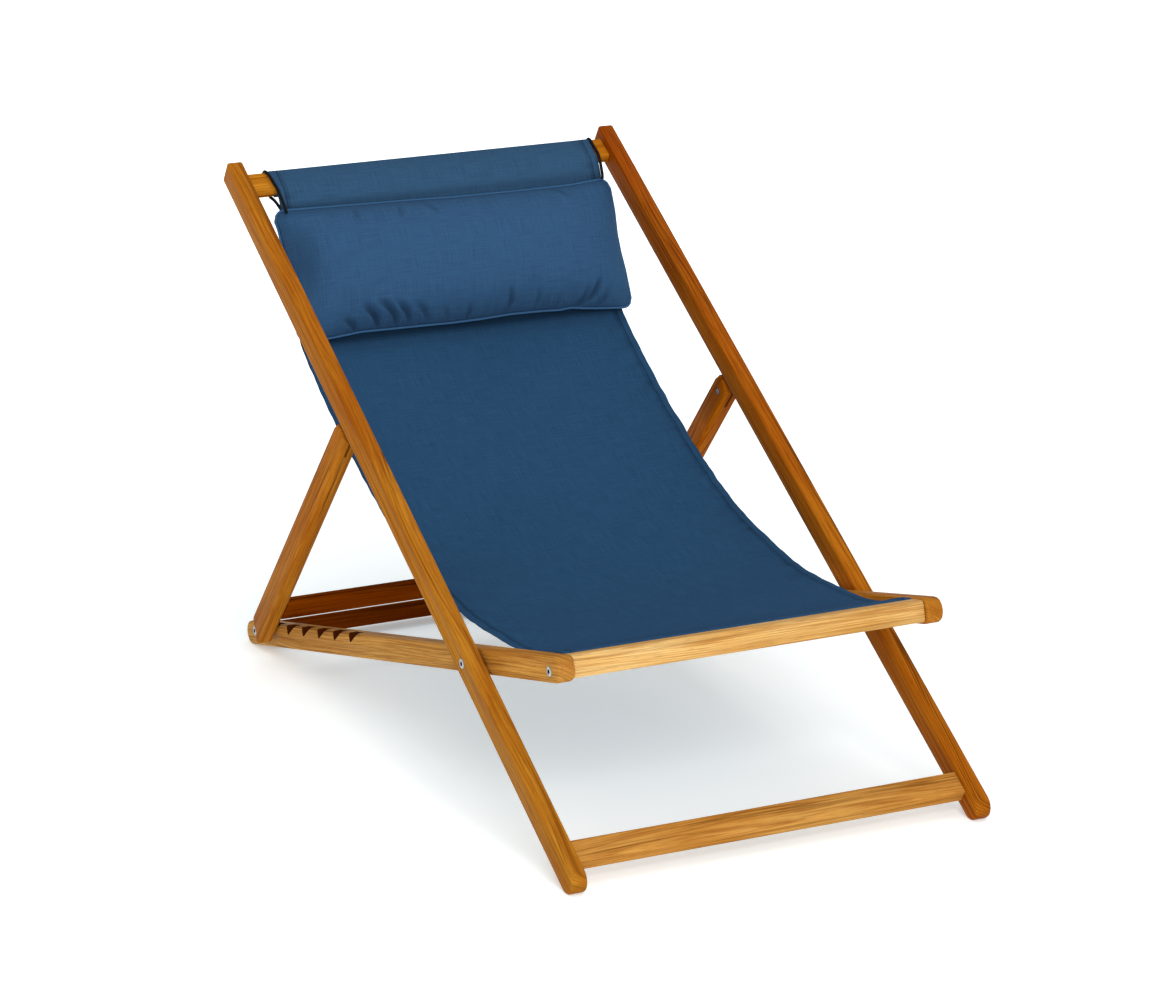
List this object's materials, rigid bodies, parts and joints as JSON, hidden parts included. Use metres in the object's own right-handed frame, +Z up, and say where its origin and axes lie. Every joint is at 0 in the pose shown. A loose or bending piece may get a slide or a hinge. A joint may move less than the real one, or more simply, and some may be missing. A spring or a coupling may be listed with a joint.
{
  "type": "folding deck chair",
  "caption": "Folding wooden deck chair with a hanging fabric sling, tied-on head pillow, notched seat rails and a swinging rear prop frame.",
  "frame": {"origin": "on the floor, at the centre of the rectangle of the four floor contacts, which is also the bottom centre of the bounding box", "axes": "+Z up, -Y is the front the sitter faces, +X is the sitter's left (the viewer's right when looking at the front); left and right in node names are as seen from the front"},
  "size_m": [0.6, 1.1066, 0.7097],
  "materials": {
    "teak": "oiled satin",
    "beech": "plain",
    "sling_cloth": "woven, hemmed",
    "head_pillow_cloth": "woven, piped seams",
    "cord": "braided elastic",
    "washer": "matte",
    "sleeve": "plain",
    "rod": "plain",
    "fastener": "zinc plated"
  },
  "bodies": {
    "back_frame": {"long_rail_left": "teak", "long_rail_right": "teak", "top_crossbar": "teak", "bottom_crossbar": "teak", "hinge_plate_left": "fastener", "hinge_plate_right": "fastener", "pivot_bolt_left": "fastener", "pivot_bolt_right": "fastener", "pivot_washer_left": "washer", "pivot_washer_right": "washer", "sling_rod_top": "rod", "sling": "sling_cloth", "head_pillow": "head_pillow_cloth", "elastic_cord_left": "cord", "elastic_cord_right": "cord"},
    "seat_frame": {"seat_rail_left": "teak", "seat_rail_right": "teak", "front_seat_bar": "teak", "rear_crossbar": "teak", "pivot_sleeve_left": "sleeve", "pivot_sleeve_right": "sleeve", "front_bar_screw_left": "fastener", "front_bar_screw_right": "fastener", "rear_bar_screw_left": "fastener", "rear_bar_screw_right": "fastener", "front_bar_dowel_left": "beech", "front_bar_dowel_right": "beech", "rear_bar_dowel_left": "beech", "rear_bar_dowel_right": "beech", "sling_rod_front": "rod"},
    "prop_frame": {"prop_arm_left": "teak", "prop_arm_right": "teak", "prop_crossbar": "teak", "prop_peg_left": "fastener", "prop_peg_right": "fastener", "hinge_bolt_left": "fastener", "hinge_bolt_right": "fastener"}
  },
  "joints": [
    {"name": "seat_fold", "type": "hinge", "parent": "back_frame", "child": "seat_frame", "pos_m": [0, -0.2377, 0.20671], "axis": [1, 0, 0], "range_deg": [-26.2, 40.4], "deforming": ["sling"]},
    {"name": "prop_fold", "type": "hinge", "parent": "back_frame", "child": "prop_frame", "pos_m": [0, 0.15271, 0.40199], "axis": [1, 0, 0], "range_deg": [-53.39, 82.11]}
  ],
  "couplings": [
    {"joint": "prop_fold", "follows": "seat_fold", "ratio": 2.03}
  ]
}
